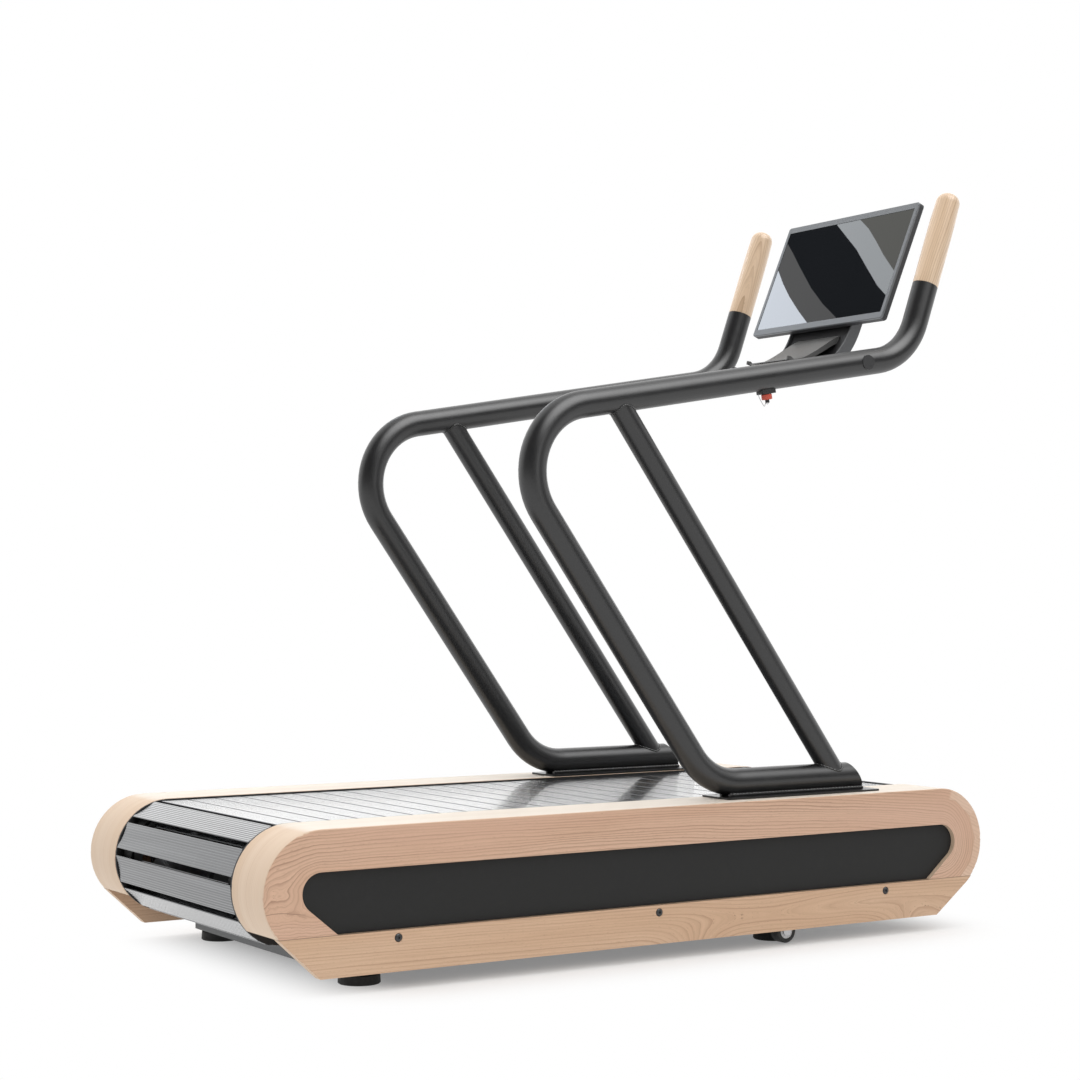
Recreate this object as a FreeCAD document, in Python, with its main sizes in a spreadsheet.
import FreeCAD, Part
import Sketcher
import math
import os

# Flat-deck manual treadmill with slatted belt, wooden side bands and tubular handrails.
# Frame: +X forward (towards the display), +Y to the user's left, +Z up, floor at z = 0.
# Everything is built about the belt's centre and moved back by shift_x when it is named.
# All sizes in millimetres.

os.makedirs("parts", exist_ok=True)
App = FreeCAD
Vec = App.Vector
doc = App.newDocument("treadmill")
sheet = doc.addObject("Spreadsheet::Sheet", "Sheet")

# ------------------------------------------------------------------ driving dimensions
# endings: _rad radius, _thk thickness, _w width, _half half length, _in/_out inner/outer |y|
DIM = dict(
    # wooden sides
    half_len=875.0, end_rad=117.0, top_z=308.0, half_w=420.0, band_w=137.0, window_rad=38.6,
    seam_z=112.0, edge_rad=3.0, board_z=34.0, board_thk=20.0, board_shift=8.0,
    panel_in=11.0, panel_thk=4.0, panel_gap=0.4,
    screw_x=597.0, screw_z=97.2, screw_rad=4.0, screw_head=7.8,
    # chassis rails and foot beams
    rail_half=700.0, rail_w=50.0, rail_z=62.0, rail_wall=4.0,
    beam_h=28.0, beam_w=100.0, beam_half=352.0,
    # belts and slats
    belt_pitch_rad=98.0, belt_thk=6.0, belt_w=40.0, belt_y=255.0,
    slat_count=60.0, slat_w=56.0, slat_half=277.0, slat_top_rad=113.5, slat_thk=5.0,
    slat_phase=-686.9, rib_thk=4.0, rib_depth=24.5, rib_half=215.0, rivet_rad=3.0,
    # axles, bearings and support rollers
    axle_rad=12.5, axle_half=345.0, bearing_rad=26.0, bearing_w=15.0, run_gap=0.05,
    block_rad=36.0, block_in=318.0,
    roller_rad=25.95, roller_w=16.0, roller_step=300.0, stud_rad=5.0,
    # feet and wheels
    foot_rad=41.0, foot_pad=20.0, foot_y=313.0, foot_rear_x=-623.0, foot_front_x=372.0,
    stem_rad=6.0,
    wheel_x=346.0, wheel_y=382.0, wheel_z=28.0, wheel_rad=25.0, wheel_w=26.0, wheel_axle=6.0,
    # base plates, handrails and crossbar
    plate_x0=204.0, plate_x1=614.0, plate_in=285.0, plate_out=385.0, plate_thk=4.0,
    tube_rad=28.5, tube_wall=3.0, hand_y=338.0, strut_rad=25.0, bend_rad=140.0,
    cross_x=599.0, cross_z=1238.8, cross_rad=16.0, grip_len=225.0,
    # display and its bracket
    disp_w=472.0, disp_len=298.0, disp_thk=19.0, disp_tilt=23.25,
    arm_y=113.0, arm_thk=5.0, arm_in=199.0, arm_out=226.0, arm_cx=585.5, arm_cz=1431.5,
    pin_rad=4.0,
    # from the belt's centre to the whole machine's centre
    shift_x=5.125,
)
DIM["end_cx"] = DIM["half_len"] - DIM["end_rad"]
DIM["end_cz"] = DIM["top_z"] - DIM["end_rad"]
DIM["seam_x"] = DIM["end_cx"] + math.sqrt(
    DIM["end_rad"] ** 2 - (DIM["end_cz"] - DIM["seam_z"]) ** 2)

# The end arcs run tangent into lines that slope in and down to a flat lower edge.
END_SLOPE = math.radians(39.5)
for outline_name, arc_rad, low_z in (
        ("board", DIM["end_rad"], DIM["board_z"]),
        ("window", DIM["window_rad"], DIM["seam_z"]),
        ("panel", DIM["window_rad"] - DIM["panel_gap"], DIM["seam_z"] + DIM["panel_gap"])):
    tangent_x = DIM["end_cx"] + arc_rad * math.sin(END_SLOPE)
    tangent_z = DIM["end_cz"] - arc_rad * math.cos(END_SLOPE)
    DIM[outline_name + "_tan_x"] = tangent_x
    DIM[outline_name + "_tan_z"] = tangent_z
    DIM[outline_name + "_low_x"] = tangent_x - (tangent_z - low_z) / math.tan(END_SLOPE)

for row, (alias, number) in enumerate(sorted(DIM.items()), start=1):
    sheet.set("A%d" % row, alias)
    sheet.set("B%d" % row, repr(float(number)))
    sheet.setAlias("B%d" % row, alias)
doc.recompute()


# ------------------------------------------------------------------ numbers tied to the sheet
OPERATIONS = {"+": float.__add__, "-": float.__sub__,
              "*": float.__mul__, "/": float.__truediv__}


def formula_of(value):
    return value.formula if isinstance(value, Linked) else "%.10g" % value


def combine(left, sign, right):
    return Linked(OPERATIONS[sign](float(left), float(right)),
                  "(%s %s %s)" % (formula_of(left), sign, formula_of(right)))


class Linked(float):
    """A number that carries the sheet expression it comes from."""

    def __new__(cls, value, formula):
        number = super().__new__(cls, value)
        number.formula = formula
        return number

    def __add__(self, other):
        return combine(self, "+", other)

    def __radd__(self, other):
        return combine(other, "+", self)

    def __sub__(self, other):
        return combine(self, "-", other)

    def __rsub__(self, other):
        return combine(other, "-", self)

    def __mul__(self, other):
        return combine(self, "*", other)

    def __rmul__(self, other):
        return combine(other, "*", self)

    def __truediv__(self, other):
        return combine(self, "/", other)

    def __neg__(self):
        return combine(self, "*", -1)


class Dimensions:
    """Gives each driving dimension as a Linked attribute."""

    def __getattr__(self, name):
        return Linked(DIM[name], "Sheet." + name)


dim = Dimensions()


# ------------------------------------------------------------------ document objects
AXIS_Y = Vec(0, 1, 0)
ALONG_Y = App.Rotation(Vec(1, 0, 0), -90)    # local +Z to world +Y
OUTWARD = {1: ALONG_Y, -1: App.Rotation(Vec(1, 0, 0), 90)}
SIDES = {"left": 1, "right": -1}             # sign of y
BOTH = (1, -1)
NODES = {}


def low_y(side, inner, width):
    """Lowest y of a slab that starts at |y| = inner and goes outward by width."""
    return inner if side > 0 else -inner - width


def bind(obj, prop, value):
    if isinstance(value, Linked):
        obj.setExpression(prop, value.formula)


def place(obj, x, y, z, rotation=None):
    obj.Placement = App.Placement(Vec(x, y, z), rotation or App.Rotation())
    bind(obj, "Placement.Base.x", x)
    bind(obj, "Placement.Base.y", y)
    bind(obj, "Placement.Base.z", z)
    return obj


def node(name, obj):
    """Names a finished piece and moves it to the whole machine's centre along X."""
    obj.Label = name
    bound = [formula for path, formula in obj.ExpressionEngine
             if path.strip(".") == "Placement.Base.x"]
    if bound:
        formula = "(%s) - Sheet.shift_x" % bound[0]
    else:
        formula = "%.10g - Sheet.shift_x" % obj.Placement.Base.x
    obj.setExpression("Placement.Base.x", formula)
    NODES[name] = obj


def feature(shape, name):
    obj = doc.addObject("Part::Feature", name)
    obj.Shape = shape
    return obj


def shape_node(name, shape):
    node(name, feature(shape, name))


def group_node(name, objects):
    group = doc.addObject("Part::Compound", "group")
    group.Links = objects
    node(name, group)


def primitive(kind, name, x, y, z, rotation, **sizes):
    obj = doc.addObject("Part::" + kind, name)
    for prop, value in sizes.items():
        setattr(obj, prop, float(value))
        bind(obj, prop, value)
    return place(obj, x, y, z, rotation)


def box(size_x, size_y, size_z, x, y, z):
    return primitive("Box", "box", x, y, z, None, Length=size_x, Width=size_y, Height=size_z)


def cylinder(radius, height, x, y, z, rotation=None):
    return primitive("Cylinder", "cyl", x, y, z, rotation, Radius=radius, Height=height)


def cone(radius1, radius2, height, x, y, z, rotation=None):
    return primitive("Cone", "cone", x, y, z, rotation,
                     Radius1=radius1, Radius2=radius2, Height=height)


def fuse(*shapes):
    if len(shapes) == 1:
        return shapes[0]
    obj = doc.addObject("Part::MultiFuse", "fuse")
    obj.Shapes = list(shapes)
    obj.Refine = True
    return obj


def cut(base, *tools):
    obj = doc.addObject("Part::Cut", "cut")
    obj.Base = base
    obj.Tool = fuse(*tools)
    obj.Refine = True
    return obj


# ------------------------------------------------------------------ sketches and bodies
def empty_sketch(body, plane, name):
    sketch = body.newObject("Sketcher::SketchObject", name)
    support = [f for f in body.Origin.OriginFeatures if f.Role == plane][0]
    sketch.AttachmentSupport = [(support, "")]
    sketch.MapMode = "FlatFace"
    return sketch


def constrain(sketch, *reference, value):
    index = sketch.addConstraint(Sketcher.Constraint(*reference, float(value)))
    bind(sketch, "Constraints[%d]" % index, value)


def outline_sketch(body, plane, outline, name, closed=True):
    """Each outline item starts an edge that runs to the next item:
    (x, y) a line, (x, y, radius, centre, counterclockwise) an arc."""
    sketch = empty_sketch(body, plane, name)
    n = len(outline)
    count = n if closed else n - 1
    ends = []                                # point numbers of each edge's start and end
    for i in range(count):
        item = outline[i]
        following = outline[(i + 1) % n]
        start = Vec(item[0], item[1], 0)
        end = Vec(following[0], following[1], 0)
        if len(item) == 2:
            sketch.addGeometry(Part.LineSegment(start, end), False)
            ends.append((1, 2))
            continue
        radius, (centre_x, centre_y), counterclockwise = item[2:]
        centre = Vec(centre_x, centre_y, 0)
        angle0 = math.atan2(start.y - centre.y, start.x - centre.x)
        angle1 = math.atan2(end.y - centre.y, end.x - centre.x)
        if not counterclockwise:
            angle0, angle1 = angle1, angle0
        while angle1 <= angle0:
            angle1 += 2 * math.pi
        circle = Part.Circle(centre, Vec(0, 0, 1), float(radius))
        sketch.addGeometry(Part.ArcOfCircle(circle, angle0, angle1), False)
        ends.append((1, 2) if counterclockwise else (2, 1))
    for i in range(count if closed else count - 1):
        j = (i + 1) % n
        sketch.addConstraint(Sketcher.Constraint("Coincident", i, ends[i][1], j, ends[j][0]))
    for i, item in enumerate(outline):
        edge, point = (i, ends[i][0]) if i < count else (i - 1, ends[i - 1][1])
        constrain(sketch, "DistanceX", -1, 1, edge, point, value=item[0])
        constrain(sketch, "DistanceY", -1, 1, edge, point, value=item[1])
    for i in range(count):
        if len(outline[i]) > 2:
            constrain(sketch, "Radius", i, value=outline[i][2])
    return sketch


def ring_sketch(body, plane, radii, name):
    """Circles about the sketch origin."""
    sketch = empty_sketch(body, plane, name)
    for i, radius in enumerate(radii):
        sketch.addGeometry(Part.Circle(Vec(), Vec(0, 0, 1), float(radius)), False)
        constrain(sketch, "DistanceX", -1, 1, i, 3, value=0)
        constrain(sketch, "DistanceY", -1, 1, i, 3, value=0)
        constrain(sketch, "Radius", i, value=radius)
    return sketch


def padded(plane, outline, length, y, z, name):
    """A body padded symmetrically about its sketch plane."""
    body = doc.addObject("PartDesign::Body", name)
    sketch = outline_sketch(body, plane, outline, "Profile")
    pad = body.newObject("PartDesign::Pad", "Pad")
    pad.Profile = sketch
    pad.Length = float(length)
    bind(pad, "Length", length)
    pad.Midplane = True
    return place(body, 0, y, z)


def turned(outline, x, y, z, name, rotation=None):
    """A body turned about local Z from an outline of (radius, height)."""
    body = doc.addObject("PartDesign::Body", name)
    sketch = outline_sketch(body, "XZ_Plane", outline, "Profile")
    revolution = body.newObject("PartDesign::Revolution", "Revolution")
    revolution.Profile = sketch
    revolution.ReferenceAxis = (sketch, ["V_Axis"])
    revolution.Angle = 360.0
    return place(body, x, y, z, rotation)


def round_edges(body, wanted, radius, name):
    doc.recompute()
    pad = body.Tip
    edges = ["Edge%d" % i for i, edge in enumerate(pad.Shape.Edges, start=1) if wanted(edge)]
    fillet = body.newObject("PartDesign::Fillet", name)
    fillet.Base = (pad, edges)
    fillet.Radius = float(radius)
    bind(fillet, "Radius", radius)
    body.Tip = fillet


# ------------------------------------------------------------------ plain shapes
def prism(points, direction):
    return Part.Face(Part.makePolygon(points + points[:1])).extrude(direction)


def prism_xy(points, z, height):
    return prism([Vec(x, y, z) for x, y in points], Vec(0, 0, height))


def prism_xz(points, y, width):
    return prism([Vec(px, y, pz) for px, pz in points], Vec(0, width, 0))


def disc(radius, width, x, y, z):
    """A cylinder along Y, starting at y."""
    return Part.makeCylinder(radius, width, Vec(x, y, z), AXIS_Y)


def cross_bore(radius, x, z):
    return disc(radius, 400, x, -200, z)


def biggest_solid(shape):
    return max(shape.Solids, key=lambda solid: solid.Volume)


def z_span(edge):
    return abs(edge.Vertexes[0].Point.z - edge.Vertexes[-1].Point.z)


# ------------------------------------------------------------------ shared places
RAIL_OUT_Y = dim.half_w - dim.board_thk
RAIL_IN_Y = RAIL_OUT_Y - dim.rail_w
BOARD_SCREW_X = [k * dim.screw_x for k in (-1, 0, 1)]
CROSS_MEMBER_X = (-400, 0, 400)
CROSS_MEMBER_W = 60
ROLLER_X = [k * dim.roller_step for k in (-1.5, -0.5, 0.5, 1.5)]
ROLLER_Z = (dim.end_cz + dim.belt_pitch_rad - dim.belt_thk / 2
            - dim.roller_rad - dim.run_gap)
BEARING_RAIL_IN = 222
BEARING_RAIL_THK = 8
PLATE_SCREW_AT = [(x, y) for x in (235.0, 580.0) for y in (297.0, 373.0)]   # x, |y|
PLATE_SCREW_RAD = 5.0
PLATE_SCREW_HEAD = 9.0


# ------------------------------------------------------------------ wooden sides
def window_arch(outline_name, radius, low_z):
    """Window outline in XZ, counterclockwise from lower front to rear tangent point."""
    low_x = getattr(dim, outline_name + "_low_x")
    tan_x = getattr(dim, outline_name + "_tan_x")
    tan_z = getattr(dim, outline_name + "_tan_z")
    arch_top = dim.end_cz + radius
    return [(low_x, low_z),
            (tan_x, tan_z, radius, (dim.end_cx, dim.end_cz), True),
            (dim.end_cx, arch_top),
            (-dim.end_cx, arch_top, radius, (-dim.end_cx, dim.end_cz), True),
            (-tan_x, tan_z)]


def on_outer_top(edge):
    """Edges of the band's top and end arcs that lie in one of its side faces."""
    ys = [vertex.Point.y for vertex in edge.Vertexes]
    if len(ys) < 2 or abs(ys[0] - ys[1]) > 1e-6:
        return False
    middle = edge.valueAt((edge.FirstParameter + edge.LastParameter) / 2)
    from_centre = math.hypot(abs(middle.x) - dim.end_cx, middle.z - dim.end_cz)
    on_end = abs(from_centre - dim.end_rad) < 1e-3 and abs(middle.x) > dim.end_cx
    return abs(middle.z - dim.top_z) < 1e-3 or on_end


def side_band(name, side):
    hole_depth = 70
    outer = [(-dim.seam_x, dim.seam_z, dim.end_rad, (-dim.end_cx, dim.end_cz), False),
             (-dim.end_cx, dim.top_z),
             (dim.end_cx, dim.top_z, dim.end_rad, (dim.end_cx, dim.end_cz), False),
             (dim.seam_x, dim.seam_z)]
    window = window_arch("window", dim.window_rad, dim.seam_z)
    outline = outer + window + [(-dim.window_low_x, dim.seam_z)]
    band = padded("XZ_Plane", outline, dim.band_w,
                  side * (dim.half_w - dim.band_w / 2), 0, "Band")
    round_edges(band, on_outer_top, dim.edge_rad, "EdgeRound")
    holes = [cylinder(PLATE_SCREW_RAD, hole_depth, x, side * y, dim.top_z - hole_depth)
             for x, y in PLATE_SCREW_AT]
    node("side_band_" + name, cut(band, *holes))


def lower_board(name, side):
    recess = 3
    recess_gap = 0.6
    outline = [(-dim.board_low_x - dim.board_shift, dim.board_z),
               (dim.board_low_x - dim.board_shift, dim.board_z),
               (dim.board_tan_x, dim.board_tan_z), (dim.seam_x, dim.seam_z),
               (-dim.seam_x, dim.seam_z), (-dim.board_tan_x, dim.board_tan_z)]
    board = padded("XZ_Plane", outline, dim.board_thk,
                   side * (dim.half_w - dim.board_thk / 2), 0, "Board")
    tools = []
    for x in BOARD_SCREW_X:
        tools.append(cylinder(dim.screw_rad, dim.board_thk, x,
                              low_y(side, RAIL_OUT_Y, dim.board_thk), dim.screw_z, ALONG_Y))
        tools.append(cylinder(dim.screw_head + recess_gap, recess, x,
                              low_y(side, dim.half_w - recess, recess), dim.screw_z, ALONG_Y))
    node("lower_board_" + name, cut(board, *tools))


def side_panel(name, side):
    low_z = dim.seam_z + dim.panel_gap
    outline = [(-dim.panel_low_x, low_z)]
    outline += window_arch("panel", dim.window_rad - dim.panel_gap, low_z)
    node("side_panel_" + name,
         padded("XZ_Plane", outline, dim.panel_thk,
                side * (dim.half_w - dim.panel_in - dim.panel_thk / 2), 0, "Panel"))


def board_screws():
    """Button-head socket screws of the lower boards."""
    head_height = 4.4
    head_taper = 2.4
    socket_rad = 2.5
    socket_depth = 3.0
    shank_len = dim.board_thk + 9.1
    screws = []
    for side in BOTH:
        radii = (dim.screw_head, dim.screw_head - head_taper)[::side]
        for x in BOARD_SCREW_X:
            shank = cylinder(dim.screw_rad, shank_len, x,
                             low_y(side, RAIL_OUT_Y - 12, shank_len), dim.screw_z, ALONG_Y)
            head = cone(*radii, head_height, x,
                        low_y(side, dim.half_w - 3, head_height), dim.screw_z, ALONG_Y)
            socket = cylinder(socket_rad, socket_depth, x,
                              low_y(side, dim.half_w - 1.4, socket_depth),
                              dim.screw_z, ALONG_Y)
            screws.append(cut(fuse(shank, head), socket))
    group_node("board_screws", screws)


def panel_standoffs():
    """Square blocks between chassis rail and side panel."""
    block = 30
    depth = dim.board_thk - dim.panel_in - dim.panel_thk
    group_node("panel_standoffs", [
        box(block, depth, block, x - block / 2, low_y(side, RAIL_OUT_Y, depth), 155)
        for side in BOTH for x in (-550, -200, 200, 550)])


# ------------------------------------------------------------------ steel chassis
def chassis_rails():
    height = dim.end_cz + dim.window_rad - dim.rail_z
    bore_len = 13
    rails = []
    for side in BOTH:
        y = low_y(side, RAIL_IN_Y, dim.rail_w)
        outer = box(dim.rail_half * 2, dim.rail_w, height, -dim.rail_half, y, dim.rail_z)
        inner = box(dim.rail_half * 2 + 2, dim.rail_w - 2 * dim.rail_wall,
                    height - 2 * dim.rail_wall,
                    -dim.rail_half - 1, y + dim.rail_wall, dim.rail_z + dim.rail_wall)
        bores = [cylinder(dim.screw_rad, bore_len, x, low_y(side, RAIL_OUT_Y - 12, bore_len),
                          dim.screw_z, ALONG_Y) for x in BOARD_SCREW_X]
        rails.append(cut(outer, inner, *bores))
    group_node("chassis_rails", rails)


def beam_outline(rear_x, half, corner, inset):
    """Beam seen from above, moved inward by inset; corner is the (x, y) size of the
    bevels at the rear corners, or None."""
    x0 = rear_x + inset
    x1 = rear_x + dim.beam_w - inset
    y = half - inset
    if corner is None:
        return [(x0, -y), (x1, -y), (x1, y), (x0, y)]
    bevel_x, bevel_y = corner
    bevel_len = math.hypot(bevel_x, bevel_y)
    start_x = rear_x + bevel_x + inset * (bevel_len - bevel_x) / bevel_y
    end_y = half - bevel_y - inset * (bevel_len - bevel_y) / bevel_x
    return [(start_x, -y), (x1, -y), (x1, y), (start_x, y), (x0, end_y), (x0, -end_y)]


def foot_beams():
    wall = 3
    beam_z = dim.rail_z - dim.beam_h
    beams = []
    # foot x, rear edge x, half length, rear bevels
    for foot_x, rear_x, half, corner in (
            (dim.foot_rear_x, dim.foot_rear_x - 77, dim.beam_half, (38.0, 80.0)),
            (dim.foot_front_x, dim.foot_front_x - 50, dim.beam_half + 6, None)):
        beam = prism_xy(beam_outline(rear_x, half, corner, 0), beam_z, dim.beam_h)
        beam = beam.cut(prism_xy(beam_outline(rear_x, half, corner, wall),
                                 beam_z + wall, dim.beam_h - 2 * wall))
        for side in BOTH:
            beam = beam.cut(Part.makeCylinder(dim.stem_rad + dim.run_gap, dim.beam_h + 2,
                                              Vec(foot_x, side * dim.foot_y, beam_z - 1)))
        beams.append(feature(beam, "foot_beam"))
    group_node("foot_beams", beams)


def cross_members():
    """Rectangular tubes between the chassis rails."""
    height = 40
    wall = 3
    z = 160
    members = []
    for x in CROSS_MEMBER_X:
        outer = box(CROSS_MEMBER_W, RAIL_IN_Y * 2, height,
                    x - CROSS_MEMBER_W / 2, -RAIL_IN_Y, z)
        inner = box(CROSS_MEMBER_W - 2 * wall, RAIL_IN_Y * 2 + 2, height - 2 * wall,
                    x - CROSS_MEMBER_W / 2 + wall, -RAIL_IN_Y - 1, z + wall)
        members.append(cut(outer, inner))
    group_node("cross_members", members)


def bearing_rails():
    """Flat bars that carry the roller studs, with a leg down to each cross member."""
    rails = []
    for side in BOTH:
        y = low_y(side, BEARING_RAIL_IN, BEARING_RAIL_THK)
        parts = [box(1280, BEARING_RAIL_THK, 36, -640, y, 236)]
        for x in CROSS_MEMBER_X:
            parts.append(box(CROSS_MEMBER_W, BEARING_RAIL_THK, 37,
                             x - CROSS_MEMBER_W / 2, y, 200))
        bores = [cylinder(dim.stud_rad, BEARING_RAIL_THK + 2, x, y - 1, ROLLER_Z, ALONG_Y)
                 for x in ROLLER_X]
        rails.append(cut(fuse(*parts), *bores))
    group_node("bearing_rails", rails)


def roller_studs():
    collar = 8
    thin = dim.stud_rad
    # radius, distance outward from the rail's inner face
    outline = [(0, 0), (thin, 0), (thin, BEARING_RAIL_THK), (collar, BEARING_RAIL_THK),
               (collar, 24.7), (thin, 24.7), (thin, 41.3), (collar, 41.3),
               (collar, 45), (0, 45)]
    group_node("roller_studs", [
        turned(outline, x, side * BEARING_RAIL_IN, ROLLER_Z, "Stud", OUTWARD[side])
        for side in BOTH for x in ROLLER_X])


def support_rollers():
    roller_in = 247
    for number, x in enumerate(ROLLER_X, start=1):
        pair = []
        for side in BOTH:
            y = low_y(side, roller_in, dim.roller_w)
            roller = cylinder(dim.roller_rad, dim.roller_w, x, y, ROLLER_Z, ALONG_Y)
            bore = cylinder(dim.stud_rad + dim.run_gap, dim.roller_w + 2,
                            x, y - 1, ROLLER_Z, ALONG_Y)
            pair.append(cut(roller, bore))
        group_node("support_rollers_%d" % number, pair)


# ------------------------------------------------------------------ axles and pulleys
def axle_and_pulleys(end, x):
    hub_rad = 25
    hub_half = 24
    rim_half = 18
    web_half = 5
    hole_rad = 14
    hole_circle = 56
    node(end + "_axle", cylinder(dim.axle_rad, dim.axle_half * 2, x, -dim.axle_half,
                                 dim.end_cz, ALONG_Y))
    rim_rad = dim.belt_pitch_rad - dim.belt_thk / 2 - dim.run_gap
    rim_in = rim_rad - 9
    outline = [(dim.axle_rad, -hub_half), (hub_rad, -hub_half), (hub_rad, -web_half),
               (rim_in, -web_half), (rim_in, -rim_half), (rim_rad, -rim_half),
               (rim_rad, rim_half), (rim_in, rim_half), (rim_in, web_half),
               (hub_rad, web_half), (hub_rad, hub_half), (dim.axle_rad, hub_half)]
    pulleys = []
    for side in BOTH:
        pulley = turned(outline, x, side * dim.belt_y, dim.end_cz, "Pulley", ALONG_Y)
        holes = [cylinder(hole_rad, 14, x + hole_circle * math.cos(k * math.pi / 3),
                          side * dim.belt_y - 7,
                          dim.end_cz + hole_circle * math.sin(k * math.pi / 3), ALONG_Y)
                 for k in range(6)]
        pulleys.append(cut(pulley, *holes))
    group_node(end + "_pulleys", pulleys)


def axle_bearings_and_blocks():
    arm_len = 158                            # block's arm towards the machine's middle
    bearings = []
    blocks = []
    bearing_in = dim.block_in + 8
    block_w = RAIL_IN_Y - dim.block_in
    for end in BOTH:
        x = end * dim.end_cx
        for side in BOTH:
            y = low_y(side, bearing_in, dim.bearing_w)
            bearings.append(cut(
                cylinder(dim.bearing_rad, dim.bearing_w, x, y, dim.end_cz, ALONG_Y),
                cylinder(dim.axle_rad + dim.run_gap, dim.bearing_w + 2,
                         x, y - 1, dim.end_cz, ALONG_Y)))
            y = low_y(side, dim.block_in, block_w)
            arm_x = x - arm_len if end > 0 else x
            block = fuse(
                cylinder(dim.block_rad, block_w, x, y, dim.end_cz, ALONG_Y),
                box(arm_len, block_w, 2 * dim.block_rad, arm_x, y, dim.end_cz - dim.block_rad))
            blocks.append(cut(block, cylinder(dim.bearing_rad, block_w + 2,
                                              x, y - 1, dim.end_cz, ALONG_Y)))
    group_node("axle_bearings", bearings)
    group_node("bearing_blocks", blocks)


# ------------------------------------------------------------------ belts, slats, rivets
BELT_OUT_RAD = dim.belt_pitch_rad + dim.belt_thk / 2
BELT_IN_RAD = dim.belt_pitch_rad - dim.belt_thk / 2


def on_loop(distance):
    """Placement on the loop: local +X along travel, local +Z outward from its middle line."""
    straight = 2 * dim.end_cx
    turn = math.pi * dim.belt_pitch_rad
    rest = distance % (2 * straight + 2 * turn)
    if rest < straight:
        return Vec(-dim.end_cx + rest, 0, dim.end_cz), 0.0
    rest -= straight
    if rest < turn:
        return Vec(dim.end_cx, 0, dim.end_cz), math.degrees(rest / dim.belt_pitch_rad)
    rest -= turn
    if rest < straight:
        return Vec(dim.end_cx - rest, 0, dim.end_cz), 180.0
    rest -= straight
    return (Vec(-dim.end_cx, 0, dim.end_cz),
            180.0 + math.degrees(rest / dim.belt_pitch_rad))


def stadium(radius, width, y):
    """Slab with round ends about both axles."""
    middle = Part.makeBox(2 * dim.end_cx, width, 2 * radius,
                          Vec(-dim.end_cx, y, dim.end_cz - radius))
    rear = disc(radius, width, -dim.end_cx, y, dim.end_cz)
    front = disc(radius, width, dim.end_cx, y, dim.end_cz)
    return middle.fuse([rear, front]).removeSplitter()


def rivet_cylinder(side, start, length):
    return Part.makeCylinder(dim.rivet_rad, length, Vec(0, side * dim.belt_y, start))


def one_slat():
    """Slat with two ribs and a pad over each belt, in its on_loop frame."""
    rib_x = 14.0
    pad_len = 24
    pad_w = 36
    top = dim.slat_top_rad
    under = top - dim.slat_thk
    plate = Part.makeBox(dim.slat_w, 2 * dim.slat_half, dim.slat_thk,
                         Vec(-dim.slat_w / 2, -dim.slat_half, under))
    long_top_edges = [e for e in plate.Edges if abs(e.CenterOfMass.z - top) < 1e-6
                      and abs(e.CenterOfMass.y) < 1e-6]
    plate = plate.makeChamfer(0.8, long_top_edges)
    extras = []
    for x in (-rib_x, rib_x):
        extras.append(Part.makeBox(
            dim.rib_thk, 2 * dim.rib_half, dim.rib_depth,
            Vec(x - dim.rib_thk / 2, -dim.rib_half, under - dim.rib_depth)))
    for side in BOTH:
        extras.append(Part.makeBox(
            pad_len, pad_w, under - BELT_OUT_RAD,
            Vec(-pad_len / 2, side * dim.belt_y - pad_w / 2, BELT_OUT_RAD)))
    slat = plate.fuse(extras).removeSplitter()
    holes = [rivet_cylinder(side, BELT_OUT_RAD, 9) for side in BOTH]
    return slat.cut(holes[0].fuse(holes[1]))


def slats_and_belts():
    rivet_recess = 0.6
    count = int(dim.slat_count)
    pitch = (4 * dim.end_cx + 2 * math.pi * dim.belt_pitch_rad) / count
    slat = one_slat()
    slats = {"slats_top": [], "slats_ends": [], "slats_bottom": []}
    rivets = []
    holes = {side: [] for side in BOTH}
    for k in range(count):
        position, angle = on_loop(dim.slat_phase + dim.end_cx + k * pitch)
        placement = App.Placement(position, App.Rotation(AXIS_Y, angle))
        copy = slat.copy()
        copy.Placement = placement
        run = {0.0: "slats_top", 180.0: "slats_bottom"}.get(angle, "slats_ends")
        slats[run].append(copy)
        for side in BOTH:
            rivet = rivet_cylinder(side, BELT_IN_RAD + rivet_recess,
                                   9 + dim.belt_thk - rivet_recess)
            rivet.Placement = placement
            rivets.append(rivet)
            hole = rivet_cylinder(side, BELT_IN_RAD - 1, dim.belt_thk + 2)
            hole.Placement = placement
            holes[side].append(hole)
    for name, shapes in slats.items():
        shape_node(name, Part.makeCompound(shapes))
    shape_node("slat_rivets", Part.makeCompound(rivets))
    belts = []
    for side in BOTH:
        y = side * dim.belt_y - dim.belt_w / 2
        belt = stadium(BELT_OUT_RAD, dim.belt_w, y).cut(stadium(BELT_IN_RAD, dim.belt_w, y))
        belts.append(belt.cut(Part.makeCompound(holes[side])))
    shape_node("drive_belts", Part.makeCompound(belts))


def edge_guards():
    """Strips just outside the slat ends, open along the bottom."""
    outer_rad = 116.2
    inner_rad = 98.0
    width = 4.6
    lowest_z = 82.0
    guards = []
    for side in BOTH:
        y = low_y(side, 278.4, width)
        guard = stadium(outer_rad, width, y).cut(stadium(inner_rad, width, y))
        guard = guard.cut(Part.makeBox(2 * dim.end_cx + 40, 12, dim.seam_z,
                                       Vec(-dim.end_cx - 20, y - 3, 0)))
        guards.append(guard.cut(Part.makeBox(3000, 12, lowest_z, Vec(-1500, y - 3, 0))))
    shape_node("edge_guards", Part.makeCompound(guards))


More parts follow.
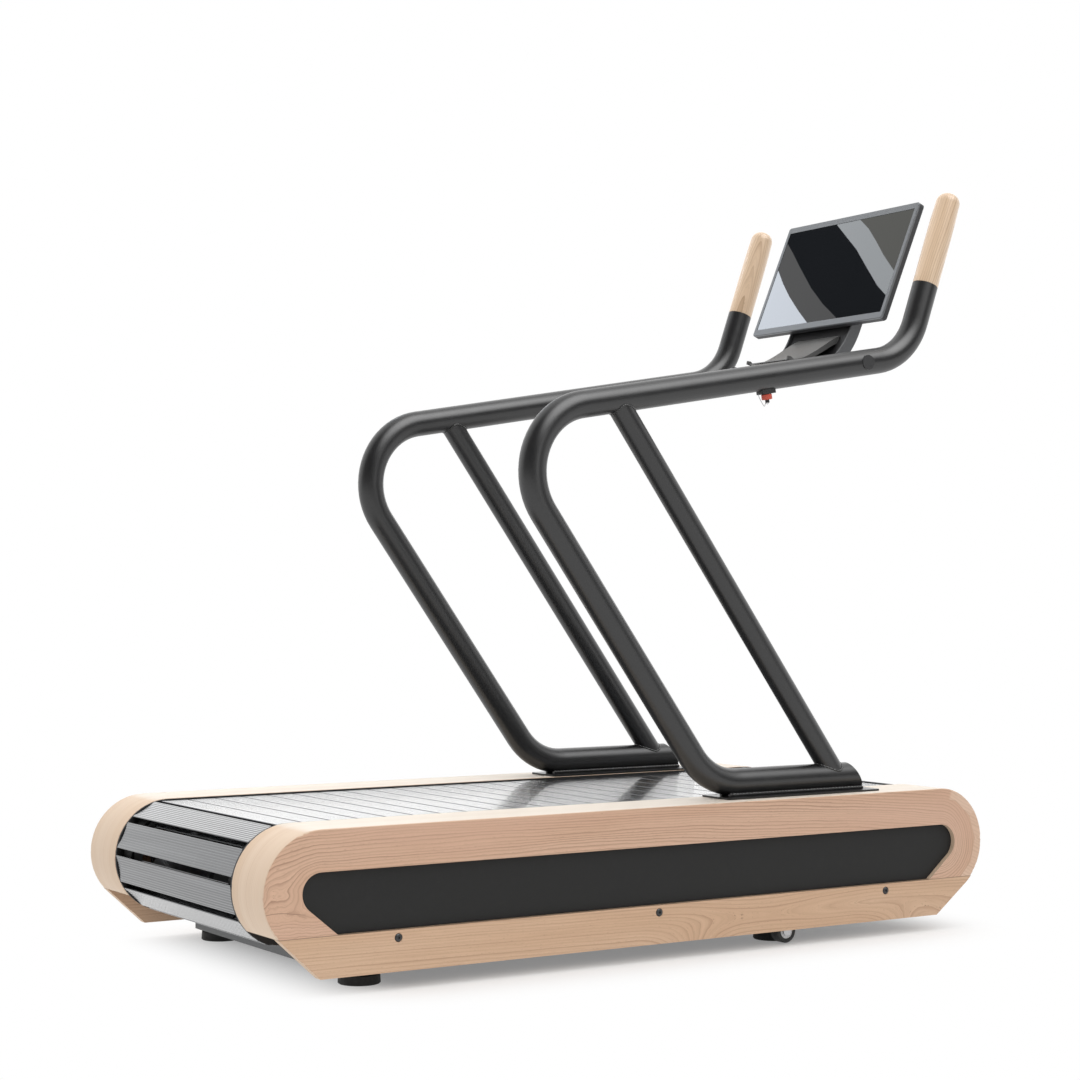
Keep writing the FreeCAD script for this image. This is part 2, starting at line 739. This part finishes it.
# ------------------------------------------------------------------ base plates
def base_plates():
    corner_rad = 8.0
    half = (dim.plate_out - dim.plate_in) / 2
    outline = [(dim.plate_x0, -half), (dim.plate_x1, -half),
               (dim.plate_x1, half), (dim.plate_x0, half)]
    plates = []
    for side in BOTH:
        plate = padded("XY_Plane", outline, dim.plate_thk,
                       side * (dim.plate_in + dim.plate_out) / 2,
                       dim.top_z + dim.plate_thk / 2, "Plate")
        round_edges(plate, lambda edge: z_span(edge) > 1, corner_rad, "Corners")
        sinks = [cone(PLATE_SCREW_RAD, PLATE_SCREW_HEAD, dim.plate_thk, x, side * y, dim.top_z)
                 for x, y in PLATE_SCREW_AT]
        plates.append(cut(plate, *sinks))
    group_node("base_plates", plates)


def base_plate_screws():
    shank_len = 66
    screws = []
    for side in BOTH:
        for x, y in PLATE_SCREW_AT:
            shank = cylinder(PLATE_SCREW_RAD, shank_len, x, side * y, dim.top_z - shank_len)
            head = cone(PLATE_SCREW_RAD, PLATE_SCREW_HEAD, dim.plate_thk,
                        x, side * y, dim.top_z)
            socket = cylinder(2.6, 2.5, x, side * y, dim.top_z + dim.plate_thk - 2)
            screws.append(cut(fuse(shank, head), socket))
    group_node("base_plate_screws", screws)


# ------------------------------------------------------------------ handrails
TUBE_Z = dim.top_z + dim.plate_thk + dim.tube_rad
STRUT_RAKE = 0.728                           # struts go back this much per unit of height
RAIL_RISE = 832.0                            # rail above the deck at x = 0
RAIL_SLOPE = 0.165
REAR_STRUT_X = 206.4                         # where the strut lines meet the deck
FRONT_STRUT_X = 549.1


def strut_x(deck_x, z):
    return deck_x - STRUT_RAKE * (z - dim.top_z)


def rail_z(x):
    return dim.top_z + RAIL_RISE + RAIL_SLOPE * x


RAIL_REAR_X = (REAR_STRUT_X - STRUT_RAKE * RAIL_RISE) / (1 + STRUT_RAKE * RAIL_SLOPE)
# sharp corners of the tube's middle line, from foot tube to handle end
CORNERS = [
    Vec(592.0, 0, TUBE_Z),
    Vec(strut_x(REAR_STRUT_X, TUBE_Z), 0, TUBE_Z),
    Vec(RAIL_REAR_X, 0, rail_z(RAIL_REAR_X)),
    Vec(731.3, 0, 1260.7),
    Vec(789.9, 0, 1422.7),
]


def rounded_path(corners, radius):
    """(start, arc centre or None, counterclockwise) of each edge, then the end point."""
    path = [(corners[0], None, None)]
    for before, corner, after in zip(corners, corners[1:], corners[2:]):
        back = (before - corner).normalize()
        ahead = (after - corner).normalize()
        half_angle = math.acos(max(-1, min(1, back.dot(ahead)))) / 2
        reach = radius / math.tan(half_angle)
        start = corner + back * reach
        end = corner + ahead * reach
        centre = corner + (back + ahead).normalize() * (radius / math.sin(half_angle))
        counterclockwise = (start - centre).cross(end - centre).y < 0
        path.append((start, centre, counterclockwise))
        path.append((end, None, None))
    path.append((corners[-1], None, None))
    return path


PATH = rounded_path(CORNERS, float(dim.bend_rad))


def handrail_solid(y):
    """The handrail without its bore, as a plain shape for coping the struts."""
    offset = Vec(0, y, 0)
    edges = []
    for (start, centre, _), (end, _, _) in zip(PATH, PATH[1:]):
        if centre is None:
            edges.append(Part.makeLine(start + offset, end + offset))
        else:
            middle = centre + (start + end - centre * 2).normalize() * float(dim.bend_rad)
            edges.append(Part.Arc(start + offset, middle + offset, end + offset).toShape())
    circle = Part.Circle(CORNERS[0] + offset, Vec(1, 0, 0), float(dim.tube_rad))
    section = Part.Wire([circle.toShape()])
    return Part.Wire(edges).makePipeShell([section], True, True)


def handrail(name, side):
    origin = CORNERS[0]
    body = doc.addObject("PartDesign::Body", "Handrail")
    outline = []
    for start, centre, counterclockwise in PATH:
        local = start - origin
        if centre is None:
            outline.append((local.x, local.z))
        else:
            local_centre = centre - origin
            outline.append((local.x, local.z, dim.bend_rad,
                            (local_centre.x, local_centre.z), counterclockwise))
    spine = outline_sketch(body, "XZ_Plane", outline, "Spine", closed=False)
    section = ring_sketch(body, "YZ_Plane", [dim.tube_rad, dim.tube_rad - dim.tube_wall],
                          "Section")
    doc.recompute()
    pipe = body.newObject("PartDesign::AdditivePipe", "Pipe")
    pipe.Profile = section
    pipe.Spine = (spine, ["Edge%d" % (i + 1) for i in range(len(spine.Shape.Edges))])
    y = side * dim.hand_y
    place(body, origin.x, y, TUBE_Z)
    doc.recompute()
    # slanted front end of the foot tube, and the crossbar's bore
    wedge = prism_xz([(origin.x - 45.2, TUBE_Z + 40), (origin.x + 80, TUBE_Z + 40),
                      (origin.x + 80, TUBE_Z - 40), (origin.x + 5.2, TUBE_Z - 40)],
                     y - 40, 80)
    bore = cylinder(dim.cross_rad, 80, dim.cross_x, y - 40, dim.cross_z, ALONG_Y)
    node("handrail_" + name, cut(body, feature(wedge, "end_cut"), bore))


def front_struts():
    """Straight tubes from foot tube to rail, coped onto the handrail."""
    wall = 2.5
    top = rail_z(-50.5)
    struts = []
    for side in BOTH:
        y = side * dim.hand_y
        foot = Vec(strut_x(FRONT_STRUT_X, TUBE_Z), y, TUBE_Z)
        along = Vec(strut_x(FRONT_STRUT_X, top), y, top) - foot
        tube = Part.makeCylinder(dim.strut_rad, along.Length, foot, along)
        tube = tube.cut(Part.makeCylinder(dim.strut_rad - wall, along.Length, foot, along))
        struts.append(biggest_solid(tube.cut(handrail_solid(y))))
    shape_node("front_struts", Part.makeCompound(struts))


def crossbar_and_caps():
    half = dim.hand_y + dim.tube_rad
    inner_rad = dim.cross_rad - 2.5
    x = dim.cross_x
    z = dim.cross_z
    node("crossbar", cut(
        cylinder(dim.cross_rad, half * 2 - 1, x, -half + 0.5, z, ALONG_Y),
        cylinder(inner_rad, half * 2 + 2, x, -half - 1, z, ALONG_Y)))
    flange = 1.5
    plug = 12
    group_node("crossbar_caps", [
        fuse(cylinder(dim.cross_rad, flange, x, low_y(side, half - 0.5, flange), z, ALONG_Y),
             cylinder(inner_rad, plug, x, low_y(side, half - 12.5, plug), z, ALONG_Y))
        for side in BOTH])


def grip(name, side):
    plug_depth = 60
    handle_end = CORNERS[-1]
    along = (handle_end - CORNERS[-2]).normalize()
    lean = math.degrees(math.atan2(along.x, along.z))
    plug_rad = dim.tube_rad - dim.tube_wall
    rad = dim.tube_rad
    length = dim.grip_len
    outline = [(0, -plug_depth), (plug_rad, -plug_depth), (plug_rad, 0), (rad, 0),
               (rad + 0.3, 90), (rad - 1.5, length - 24), (rad - 4.5, length - 11),
               (rad - 10.5, length - 3.5), (rad - 18, length - 0.5), (0, length)]
    node("grip_" + name, turned(outline, handle_end.x, side * dim.hand_y, handle_end.z,
                                "Grip", App.Rotation(AXIS_Y, lean)))


# ------------------------------------------------------------------ display bracket and tray
TILT = math.radians(dim.disp_tilt)
SCREEN_UP = Vec(math.sin(TILT), 0, math.cos(TILT))
SCREEN_BACK = Vec(math.cos(TILT), 0, -math.sin(TILT))      # away from the user
SCREEN_ORIGIN = Vec(749.54, 0, 1359.18)                    # middle of the lower front edge
# screen frame: local x to the user's left, y up the screen, z back
SCREEN_ROTATION = App.Rotation(AXIS_Y, SCREEN_UP, SCREEN_BACK, "XYZ")
ARM_CENTRE = Vec(dim.arm_cx, 0, dim.arm_cz)
ARM_STRAIGHT = 85.0                                        # from arc end to hinge pivot
ARC_END = ARM_CENTRE + SCREEN_BACK * float((dim.arm_in + dim.arm_out) / 2)
PIVOT = ARC_END + SCREEN_UP * ARM_STRAIGHT


def arc_band(inner, outer, angle0, angle1, y, width):
    """Ring sector about the arm centre; angles in degrees from straight down towards +X."""
    def at(radius, angle):
        turn = math.radians(angle)
        return Vec(ARM_CENTRE.x + radius * math.sin(turn), y,
                   ARM_CENTRE.z - radius * math.cos(turn))
    middle = (angle0 + angle1) / 2
    edges = [
        Part.Arc(at(outer, angle0), at(outer, middle), at(outer, angle1)).toShape(),
        Part.makeLine(at(outer, angle1), at(inner, angle1)),
        Part.Arc(at(inner, angle1), at(inner, middle), at(inner, angle0)).toShape(),
        Part.makeLine(at(inner, angle0), at(outer, angle0))]
    return Part.Face(Part.Wire(edges)).extrude(Vec(0, width, 0))


def arm_box(thickness, width, height, offset, y):
    """Box that continues an arm from its arc end, up along the screen."""
    shape = Part.makeBox(thickness, width, height, Vec(offset, 0, 0))
    shape.Placement = App.Placement(Vec(ARC_END.x, y, ARC_END.z),
                                    App.Rotation(AXIS_Y, float(dim.disp_tilt)))
    return shape


def display_bracket():
    """Two curved arms on the crossbar, joined by a web; returns its shape."""
    end_angle = 90.0 - dim.disp_tilt
    half = (dim.arm_out - dim.arm_in) / 2
    eye_rad = 27.0                           # eyes round the crossbar
    web_thk = 3.0
    width = dim.arm_thk
    parts = []
    for side in BOTH:
        y = low_y(side, dim.arm_y - width, width)
        parts.append(arc_band(dim.arm_in, dim.arm_out, 4.0, end_angle, y, width))
        parts.append(arm_box(2 * half, width, ARM_STRAIGHT, -half, y))
        parts.append(disc(half, width, PIVOT.x, y, PIVOT.z))
        parts.append(disc(eye_rad, width, dim.cross_x, y, dim.cross_z))
    web_half = dim.arm_y - width
    parts.append(arc_band(205.0, 205.0 + web_thk, 12.0, end_angle, -web_half, 2 * web_half))
    parts.append(arm_box(web_thk, 2 * web_half, 50.0, -7.5, -web_half))
    bracket = parts[0].fuse(parts[1:]).removeSplitter()
    bracket = bracket.cut(cross_bore(dim.cross_rad, dim.cross_x, dim.cross_z))
    bracket = bracket.cut(cross_bore(dim.pin_rad + dim.run_gap, PIVOT.x, PIVOT.z))
    shape_node("display_bracket", bracket)
    return bracket


# x, z of points on the tray's top curve, front to rear
TRAY_CURVE = [(762.0, 1333.0), (716.0, 1308.5), (676.0, 1286.5), (645.0, 1274.5),
              (626.0, 1271.5)]
# x, z of the strip along the tray's rear edge, and of the cheeks closing its ends
TRAY_LIP = [(627.0, 1271.7), (612.0, 1271.8), (610.6, 1269.8), (625.0, 1268.9),
            (628.5, 1269.9)]
TRAY_CHEEK = [(627.0, 1271.0), (618.0, 1277.5), (608.5, 1278.5), (606.5, 1270.5),
              (618.0, 1267.5)]


def device_tray(bracket):
    """Concave sheet with turned-down sides and a rear lip, clear of the bracket."""
    half = 76.0
    sheet_thk = 2.5
    flange_high = 16.0                       # flange depth at the front end
    flange_loss = 5.0                        # and how much less it is at the rear end
    curve = Part.BSplineCurve()
    curve.interpolate([Vec(x, 0, z) for x, z in TRAY_CURVE])
    top = curve.toShape().discretize(18)
    under = []
    for i, point in enumerate(top):
        along = (top[min(len(top) - 1, i + 1)] - top[max(0, i - 1)]).normalize()
        under.append(point + Vec(-along.z, 0, along.x) * sheet_thk)
    main = prism_xz([(p.x, p.z) for p in top + under[::-1]], -half, 2 * half)
    lip = prism_xz(TRAY_LIP, -half, 2 * half)
    upper = [(p.x, p.z) for p in top[:-2]]
    lower = [(x - 2.0, z - (flange_high - flange_loss * i / (len(upper) - 1)))
             for i, (x, z) in enumerate(upper)]
    ends = []
    for side in BOTH:
        y = low_y(side, half - sheet_thk, sheet_thk)
        ends.append(prism_xz(upper + lower[::-1], y, sheet_thk))
        ends.append(prism_xz(TRAY_CHEEK, y, sheet_thk))
    tray = main.fuse([lip] + ends).cut(bracket)
    tray = tray.cut(cross_bore(dim.cross_rad + 0.2, dim.cross_x, dim.cross_z))
    shape_node("device_tray", biggest_solid(tray))


# ------------------------------------------------------------------ display
BEZEL_THK = 5.0
HALF_SCREEN = dim.disp_w / 2


def on_screen(shape, x, y, z):
    """Moves a shape to a place in the screen frame."""
    position = (SCREEN_ORIGIN + AXIS_Y * float(x) + SCREEN_UP * float(y)
                + SCREEN_BACK * float(z))
    shape.Placement = App.Placement(position, SCREEN_ROTATION)
    return shape


def inset_box(side_inset, end_inset, thickness, z):
    """A box smaller than the screen by an inset on every side."""
    shape = Part.makeBox(dim.disp_w - 2 * side_inset, dim.disp_len - 2 * end_inset, thickness)
    return on_screen(shape, -HALF_SCREEN + side_inset, end_inset, z)


def screen_slab(thickness, z, chamfer, chamfered_z):
    """Full-size slab with round corners, chamfered round the face at local chamfered_z."""
    slab = Part.makeBox(dim.disp_w, dim.disp_len, thickness)
    slab = slab.makeFillet(7.0, [e for e in slab.Edges if z_span(e) > thickness / 2])
    slab = slab.makeChamfer(chamfer, [
        e for e in slab.Edges
        if all(abs(v.Point.z - chamfered_z) < 1e-6 for v in e.Vertexes)])
    return on_screen(slab, -HALF_SCREEN, 0, z)


def display():
    """Picture-frame bezel, glass in its opening, hollow housing behind."""
    frame_side = 10
    frame_end = 16
    glass_gap = 0.1
    wall = 7
    back_wall = 2.5
    bezel = screen_slab(BEZEL_THK, 0, 1.2, 0)
    shape_node("display_bezel", bezel.cut(inset_box(frame_side, frame_end, 8, -1.5)))
    shape_node("display_glass",
               inset_box(frame_side + glass_gap, frame_end + glass_gap, 3.0, 0.8))
    depth = dim.disp_thk - BEZEL_THK
    housing = screen_slab(depth, BEZEL_THK, 3.0, depth)
    shape_node("display_housing",
               housing.cut(inset_box(wall, wall, depth - back_wall, BEZEL_THK)))


def display_hinge():
    """Plate with two ears behind the screen, and the pins through ears and arms."""
    plate_w = 214
    plate_len = 110
    ear_thk = 8
    ear_len = 44
    back = dim.disp_thk
    pivot_up = (PIVOT - SCREEN_ORIGIN).dot(SCREEN_UP)
    pivot_back = (PIVOT - SCREEN_ORIGIN).dot(SCREEN_BACK)
    plate = on_screen(Part.makeBox(plate_w, plate_len, 3.0),
                      -plate_w / 2, pivot_up - plate_len / 2, back)
    ears = []
    for side in BOTH:
        y = low_y(side, plate_w / 2 - ear_thk, ear_thk)
        ears.append(on_screen(Part.makeBox(ear_thk, ear_len, pivot_back - back),
                              y, pivot_up - ear_len / 2, back))
        ears.append(disc(11, ear_thk, PIVOT.x, y, PIVOT.z))
    plate = plate.fuse(ears).removeSplitter()
    shape_node("display_hinge_plate", plate.cut(cross_bore(dim.pin_rad, PIVOT.x, PIVOT.z)))

    shank_len = 17.4
    head_thk = 3.0
    pins = []
    for side in BOTH:
        start = Vec(PIVOT.x, side * 96.0, PIVOT.z)
        outward = Vec(0, side, 0)
        pin = Part.makeCylinder(dim.pin_rad, shank_len, start, outward)
        pin = pin.fuse(Part.makeCylinder(7.5, head_thk, start + outward * shank_len, outward))
        pin = pin.fuse(Part.makeCylinder(6.5, head_thk, start, outward))
        pins.append(pin.removeSplitter())
    shape_node("display_hinge_pins", Part.makeCompound(pins))


# ------------------------------------------------------------------ safety key
def safety_key():
    """Housing under the right rail with a round key and its tip hanging from it."""
    key_x = 333.5
    housing_len = 37
    housing_w = 24
    depth = 7.0                              # housing below the tube
    overlap = 10                             # housing beside the tube, before it is cut away
    along = Vec(1, 0, RAIL_SLOPE).normalize()
    upward = Vec(-along.z, 0, along.x)
    on_rail = Vec(key_x, -dim.hand_y, rail_z(key_x))
    bottom = float(-dim.tube_rad - depth)

    def at(forward, left, above):
        return on_rail + along * forward + AXIS_Y * left + upward * above

    def stem(radius, length, above_bottom):
        return Part.makeCylinder(radius, length, at(0, 0, bottom + above_bottom), upward)

    base = Part.makeBox(housing_len, housing_w, overlap + depth)
    base.Placement = App.Placement(at(-housing_len / 2, -housing_w / 2, bottom),
                                   App.Rotation(along, AXIS_Y, upward, "XYZ"))
    base = base.makeFillet(3.0, [
        e for e in base.Edges
        if abs((e.Vertexes[0].Point - e.Vertexes[-1].Point).dot(upward)) > 5])
    base = base.cut(Part.makeCylinder(dim.tube_rad, 120, at(-60, 0, 0), along))
    shape_node("safety_base", base.cut(stem(5.05, 6, -0.5)))

    key = stem(11.5, 12, -12.3)
    key = key.makeFillet(2.0, [e for e in key.Edges if e.Length > 60])
    key = key.fuse(stem(5.0, 6.0, -1.5)).removeSplitter()
    shape_node("safety_key", key.cut(stem(2.5, 5, -12.4)))
    tip = stem(2.5, 11, -19.0).fuse(stem(4.6, 6.7, -19.0)).removeSplitter()
    shape_node("safety_key_tip", tip)


# ------------------------------------------------------------------ levelling feet
FOOT_X = {"rear": dim.foot_rear_x, "front": dim.foot_front_x}


def levelling_feet():
    stem_top = 72
    rad = dim.foot_rad
    top = dim.foot_pad
    outline = [(0, 0), (rad - 2, 0), (rad, 2), (rad - 1, top - 2.5), (rad - 3.5, top),
               (dim.stem_rad, top), (dim.stem_rad, stem_top), (0, stem_top)]
    for end, x in FOOT_X.items():
        for name, side in SIDES.items():
            node("levelling_foot_%s_%s" % (end, name),
                 turned(outline, x, side * dim.foot_y, 0, "Foot"))


def foot_lock_nuts():
    corner_rad = 10
    z = 26.0
    nuts = []
    for x in FOOT_X.values():
        for side in BOTH:
            y = side * dim.foot_y
            angles = [math.radians(60 * i) for i in range(6)]
            nut = prism_xy([(x + corner_rad * math.cos(a), y + corner_rad * math.sin(a))
                            for a in angles], z, 8)
            nuts.append(nut.cut(Part.makeCylinder(dim.stem_rad + dim.run_gap, 10,
                                                  Vec(x, y, z - 1))))
    shape_node("foot_lock_nuts", Part.makeCompound(nuts))


# ------------------------------------------------------------------ transport wheels
HUB_RAD = 16
BRACKET_IN = 360


def wheel(name, side):
    half = dim.wheel_w / 2
    rad = dim.wheel_rad
    bore = dim.wheel_axle + dim.run_gap
    tyre = [(HUB_RAD, -half), (rad - 3, -half), (rad, -half + 3), (rad, half - 3),
            (rad - 3, half), (HUB_RAD, half)]
    hub = [(bore, -half + 0.5), (HUB_RAD, -half + 0.5), (HUB_RAD, half - 1.5),
           (bore, half - 1.5)]
    for part, outline in (("tyre", tyre), ("hub", hub)):
        node("wheel_%s_%s" % (part, name),
             turned(outline, dim.wheel_x, side * dim.wheel_y, dim.wheel_z,
                    part.capitalize(), OUTWARD[side]))


def wheel_axles_and_brackets():
    head_rad = 9.5
    shank_len = 33.9
    length = 37.1
    plate_thk = 6
    plate_len = 40
    flange_w = 34
    flange_thk = 3
    x = dim.wheel_x
    outline = [(0, 0), (dim.wheel_axle, 0), (dim.wheel_axle, shank_len),
               (head_rad, shank_len), (head_rad, length), (0, length)]
    axles = []
    brackets = []
    for side in BOTH:
        axles.append(turned(outline, x, side * BRACKET_IN, dim.wheel_z, "WheelAxle",
                            OUTWARD[side]))
        y = low_y(side, BRACKET_IN, plate_thk)
        plate = fuse(box(plate_len, plate_thk, dim.rail_z - dim.wheel_z,
                         x - plate_len / 2, y, dim.wheel_z),
                     cylinder(14, plate_thk, x, y, dim.wheel_z, ALONG_Y))
        flange = box(plate_len, flange_w, flange_thk, x - plate_len / 2,
                     low_y(side, BRACKET_IN, flange_w), dim.rail_z - flange_thk)
        brackets.append(cut(fuse(plate, flange),
                            cylinder(dim.wheel_axle, plate_thk + 2, x, y - 1,
                                     dim.wheel_z, ALONG_Y)))
    group_node("wheel_axles", axles)
    group_node("wheel_brackets", brackets)


def speed_sensor():
    """Rounded box on the inner face of the front right bearing block."""
    sensor = Part.makeBox(30, 12, 26, Vec(dim.end_cx - 110, -dim.block_in, 150))
    shape_node("speed_sensor", sensor.makeFillet(2.0, sensor.Edges))


# ------------------------------------------------------------------ build
for side_name, side_sign in SIDES.items():
    side_band(side_name, side_sign)
    lower_board(side_name, side_sign)
    side_panel(side_name, side_sign)
board_screws()
panel_standoffs()
chassis_rails()
foot_beams()
cross_members()
bearing_rails()
roller_studs()
support_rollers()
axle_and_pulleys("front", dim.end_cx)
axle_and_pulleys("rear", -dim.end_cx)
axle_bearings_and_blocks()
slats_and_belts()
edge_guards()
base_plates()
base_plate_screws()
for side_name, side_sign in SIDES.items():
    handrail(side_name, side_sign)
front_struts()
crossbar_and_caps()
for side_name, side_sign in SIDES.items():
    grip(side_name, side_sign)
device_tray(display_bracket())
display()
display_hinge()
safety_key()
levelling_feet()
foot_lock_nuts()
for side_name, side_sign in SIDES.items():
    wheel(side_name, side_sign)
wheel_axles_and_brackets()
speed_sensor()
doc.recompute()

# ------------------------------------------------------------------ check and export
failed = [obj.Name + ":" + ",".join(obj.State) for obj in doc.Objects
          if "Invalid" in obj.State or "Error" in obj.State]
if failed:
    raise RuntimeError("failed objects: " + "; ".join(failed))
for node_name, piece in NODES.items():
    shape = piece.Shape
    if shape.isNull() or not shape.isValid():
        raise RuntimeError("bad shape: " + node_name)
    if not shape.Solids:
        raise RuntimeError("no solid: " + node_name)
    shape.exportStep("parts/" + node_name + ".step")
